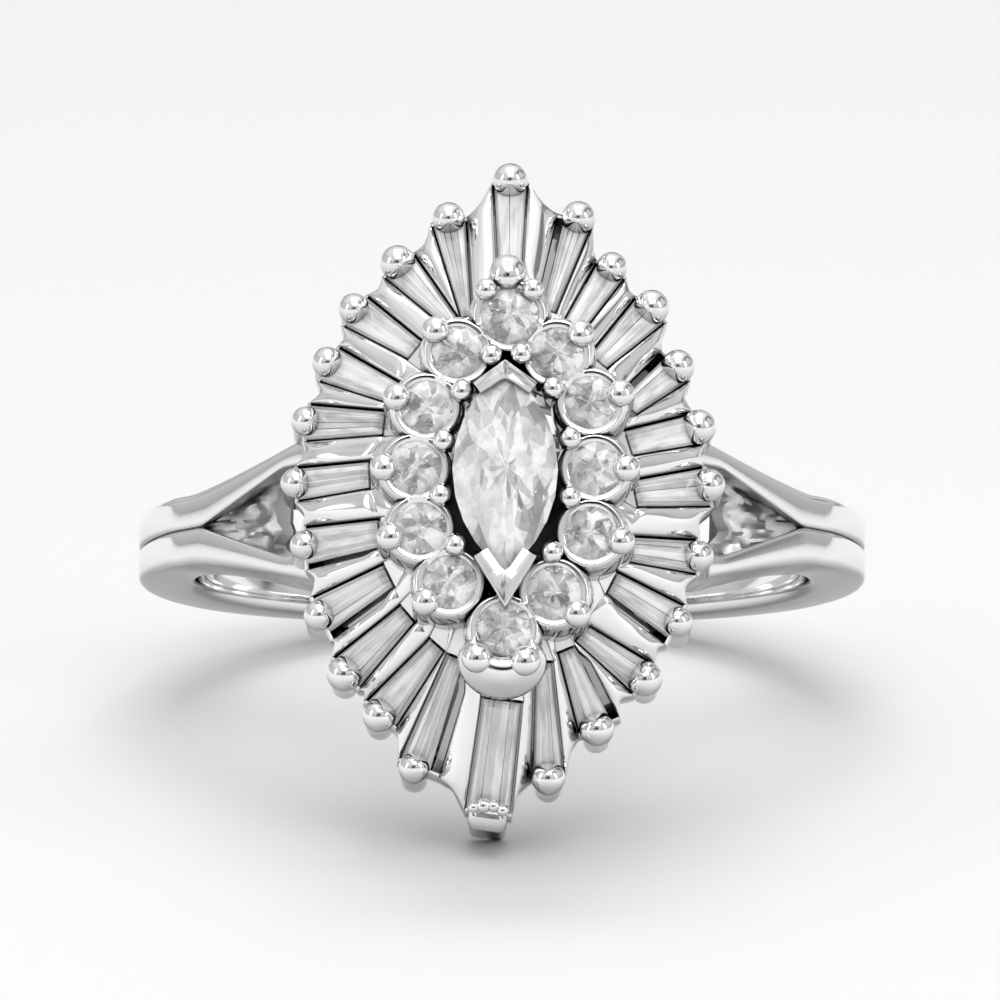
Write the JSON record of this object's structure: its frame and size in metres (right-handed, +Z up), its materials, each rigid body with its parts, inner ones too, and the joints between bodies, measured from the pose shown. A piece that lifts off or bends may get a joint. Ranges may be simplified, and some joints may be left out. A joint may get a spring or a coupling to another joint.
{
  "type": "cluster ring",
  "caption": "Oval cluster ring with a marquise centre stone, a ring of round brilliants and a sloping skirt of tapered baguettes on a split shank",
  "frame": {"origin": "middle of the bounding box's bottom, on the surface that the ring lies on", "axes": "The ring lies on its side. +X runs across the finger hole, the face of the head points along -Y and up by 23.0 degrees, the finger hole's axis leans the same angle from +Z towards +Y, and +Z is up."},
  "size_m": [0.0206, 0.0265, 0.0178],
  "materials": {
    "white_gold": "polished",
    "diamond": "polished, faceted"
  },
  "bodies": {
    "root": {"mount": "white_gold", "centre_stone": "diamond", "round_stone_01": "diamond", "round_stone_02": "diamond", "round_stone_03": "diamond", "round_stone_04": "diamond", "round_stone_05": "diamond", "round_stone_06": "diamond", "round_stone_07": "diamond", "round_stone_08": "diamond", "round_stone_09": "diamond", "round_stone_10": "diamond", "round_stone_11": "diamond", "round_stone_12": "diamond", "baguette_01": "diamond", "baguette_02": "diamond", "baguette_03": "diamond", "baguette_04": "diamond", "baguette_05": "diamond", "baguette_06": "diamond", "baguette_07": "diamond", "baguette_08": "diamond", "baguette_09": "diamond", "baguette_10": "diamond", "baguette_11": "diamond", "baguette_12": "diamond", "baguette_13": "diamond", "baguette_14": "diamond", "baguette_15": "diamond", "baguette_16": "diamond", "baguette_17": "diamond", "baguette_18": "diamond", "baguette_19": "diamond", "baguette_20": "diamond", "baguette_21": "diamond", "baguette_22": "diamond", "baguette_23": "diamond", "baguette_24": "diamond"}
  },
  "joints": []
}
